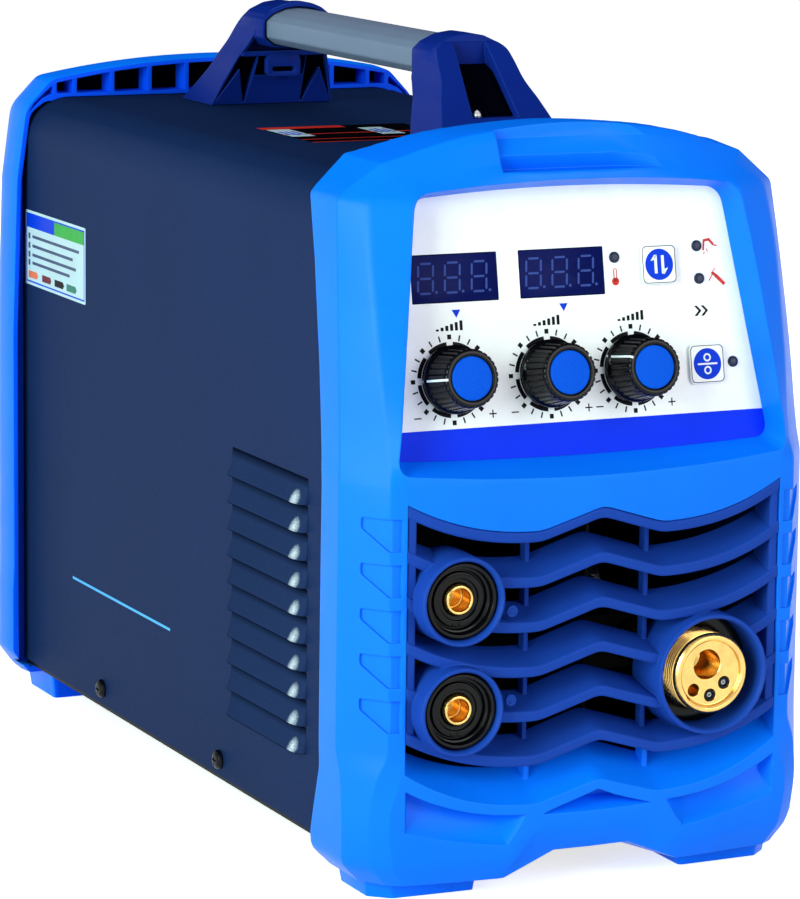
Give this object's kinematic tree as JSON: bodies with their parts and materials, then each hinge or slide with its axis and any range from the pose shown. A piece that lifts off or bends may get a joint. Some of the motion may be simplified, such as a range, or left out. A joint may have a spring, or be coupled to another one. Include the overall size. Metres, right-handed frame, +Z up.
{
  "type": "mig welding machine",
  "caption": "Portable wire-feed welding machine with a wrapped cover between moulded end frames, a tilted control panel, a louvred front with weld sockets and a top handle.",
  "frame": {"origin": "centre of the bounding box seen from above, at the underside of the feet", "axes": "+Z up, +Y from the front grille towards the rear, +X to the right seen from the front"},
  "size_m": [0.2154, 0.4325, 0.3353],
  "materials": {
    "base_plate": "zinc plated",
    "cable_gland": "black",
    "control_panel": "printed label",
    "cover": "fine powder coat",
    "cover_screw_left_front": "blackened",
    "cover_screw_left_rear": "blackened",
    "cover_screw_right_front": "blackened",
    "cover_screw_right_rear": "blackened",
    "display_left": "dark window",
    "display_right": "dark window",
    "divider": "zinc plated",
    "door_latch": "black",
    "drive_roll": "ground",
    "fan_frame": "black",
    "fan_rotor": "black",
    "feed_button": "printed",
    "feed_motor": "plated",
    "feed_plate": "cast",
    "front_frame": "satin moulded",
    "gas_nipple": "turned",
    "grille_insert": "satin moulded",
    "gun_socket_body": "turned",
    "gun_socket_insulator": "black",
    "gun_socket_pin_lower": "plated",
    "gun_socket_pin_upper": "plated",
    "handle_bar": "satin grip",
    "handle_support_front": "satin moulded",
    "handle_support_rear": "satin moulded",
    "heat_sink": "extruded",
    "knob_1": "black",
    "knob_2": "black",
    "knob_3": "black",
    "knob_cap_1": "metallic fleck",
    "knob_cap_2": "metallic fleck",
    "knob_cap_3": "metallic fleck",
    "lamp_feed": "unlit lens",
    "lamp_heat": "unlit lens",
    "lamp_rod": "unlit lens",
    "lamp_wire": "unlit lens",
    "mode_button": "printed",
    "potentiometer_1": "plated",
    "potentiometer_2": "plated",
    "potentiometer_3": "plated",
    "power_board": "solder mask",
    "pressure_arm": "cast",
    "pressure_roll": "ground",
    "rear_frame": "satin moulded",
    "rear_panel": "fine powder coat",
    "socket_contact_negative": "turned",
    "socket_contact_positive": "turned",
    "socket_insulator_negative": "black",
    "socket_insulator_positive": "black",
    "spool_hub": "moulded",
    "switch_body": "black",
    "switch_rocker": "moulded",
    "tension_knob": "black",
    "transformer": "varnished",
    "wire_door": "fine powder coat",
    "wire_spool": "black"
  },
  "bodies": {
    "case": {"base_plate": "base_plate", "cable_gland": "cable_gland", "control_panel": "control_panel", "cover": "cover", "cover_screw_left_front": "cover_screw_left_front", "cover_screw_left_rear": "cover_screw_left_rear", "cover_screw_right_front": "cover_screw_right_front", "cover_screw_right_rear": "cover_screw_right_rear", "display_left": "display_left", "display_right": "display_right", "divider": "divider", "fan_frame": "fan_frame", "feed_motor": "feed_motor", "feed_plate": "feed_plate", "front_frame": "front_frame", "gas_nipple": "gas_nipple", "grille_insert": "grille_insert", "gun_socket_body": "gun_socket_body", "gun_socket_insulator": "gun_socket_insulator", "gun_socket_pin_lower": "gun_socket_pin_lower", "gun_socket_pin_upper": "gun_socket_pin_upper", "handle_bar": "handle_bar", "handle_support_front": "handle_support_front", "handle_support_rear": "handle_support_rear", "heat_sink": "heat_sink", "lamp_feed": "lamp_feed", "lamp_heat": "lamp_heat", "lamp_rod": "lamp_rod", "lamp_wire": "lamp_wire", "potentiometer_1": "potentiometer_1", "potentiometer_2": "potentiometer_2", "potentiometer_3": "potentiometer_3", "power_board": "power_board", "rear_frame": "rear_frame", "rear_panel": "rear_panel", "socket_contact_negative": "socket_contact_negative", "socket_contact_positive": "socket_contact_positive", "socket_insulator_negative": "socket_insulator_negative", "socket_insulator_positive": "socket_insulator_positive", "spool_hub": "spool_hub", "switch_body": "switch_body", "transformer": "transformer"},
    "knob_1": {"knob_1": "knob_1", "knob_cap_1": "knob_cap_1"},
    "knob_2": {"knob_2": "knob_2", "knob_cap_2": "knob_cap_2"},
    "knob_3": {"knob_3": "knob_3", "knob_cap_3": "knob_cap_3"},
    "mode_button": {"mode_button": "mode_button"},
    "feed_button": {"feed_button": "feed_button"},
    "wire_door": {"wire_door": "wire_door"},
    "door_latch": {"door_latch": "door_latch"},
    "wire_spool": {"wire_spool": "wire_spool"},
    "drive_roll": {"drive_roll": "drive_roll"},
    "pressure_arm": {"pressure_arm": "pressure_arm"},
    "pressure_roll": {"pressure_roll": "pressure_roll"},
    "tension_knob": {"tension_knob": "tension_knob"},
    "fan_rotor": {"fan_rotor": "fan_rotor"},
    "switch_rocker": {"switch_rocker": "switch_rocker"}
  },
  "joints": [
    {"name": "knob_1_turn", "type": "hinge", "parent": "case", "child": "knob_1", "pos_m": [-0.0562, -0.18832, 0.20731], "axis": [0, 0.9836, -0.1805], "range_deg": [-60, 240]},
    {"name": "knob_2_turn", "type": "hinge", "parent": "case", "child": "knob_2", "pos_m": [-0.0131, -0.18832, 0.20731], "axis": [0, 0.9836, -0.1805], "range_deg": [-60, 240]},
    {"name": "knob_3_turn", "type": "hinge", "parent": "case", "child": "knob_3", "pos_m": [0.0249, -0.18832, 0.20731], "axis": [0, 0.9836, -0.1805], "range_deg": [-60, 240]},
    {"name": "mode_button_press", "type": "slide", "parent": "case", "child": "mode_button", "axis": [0, 0.9836, -0.1805], "range_m": [0, 0.0009], "stiffness_N_per_m": 1500, "springref_m": -0.0005},
    {"name": "feed_button_press", "type": "slide", "parent": "case", "child": "feed_button", "axis": [0, 0.9836, -0.1805], "range_m": [0, 0.0009], "stiffness_N_per_m": 1500, "springref_m": -0.0005},
    {"name": "door_swing", "type": "hinge", "parent": "case", "child": "wire_door", "pos_m": [0.0994, 0.1607, 0.152], "axis": [0, 0, 1], "range_deg": [0, 110]},
    {"name": "latch_turn", "type": "hinge", "parent": "wire_door", "child": "door_latch", "pos_m": [0.0982, -0.1131, 0.152], "axis": [1, 0, 0], "range_deg": [0, 90]},
    {"name": "spool_turn", "type": "hinge", "parent": "case", "child": "wire_spool", "pos_m": [0.0615, 0.0643, 0.155], "axis": [1, 0, 0], "continuous": true},
    {"name": "drive_roll_turn", "type": "hinge", "parent": "case", "child": "drive_roll", "pos_m": [0.05, -0.0957, 0.071], "axis": [1, 0, 0], "continuous": true},
    {"name": "pressure_arm_lift", "type": "hinge", "parent": "case", "child": "pressure_arm", "pos_m": [0.0392, -0.1177, 0.0982], "axis": [1, 0, 0], "range_deg": [0, 45]},
    {"name": "pressure_roll_turn", "type": "hinge", "parent": "pressure_arm", "child": "pressure_roll", "pos_m": [0.05, -0.0957, 0.0982], "axis": [1, 0, 0], "continuous": true},
    {"name": "tension_turn", "type": "hinge", "parent": "pressure_arm", "child": "tension_knob", "pos_m": [0.0395, -0.0647, 0.107], "axis": [0, 0, 1], "range_deg": [-360, 360]},
    {"name": "fan_turn", "type": "hinge", "parent": "case", "child": "fan_rotor", "pos_m": [-0.038, 0.1843, 0.115], "axis": [0, 1, 0], "continuous": true},
    {"name": "switch_rock", "type": "hinge", "parent": "case", "child": "switch_rocker", "pos_m": [-0.038, 0.2018, 0.213], "axis": [1, 0, 0], "range_deg": [0, 12]}
  ]
}
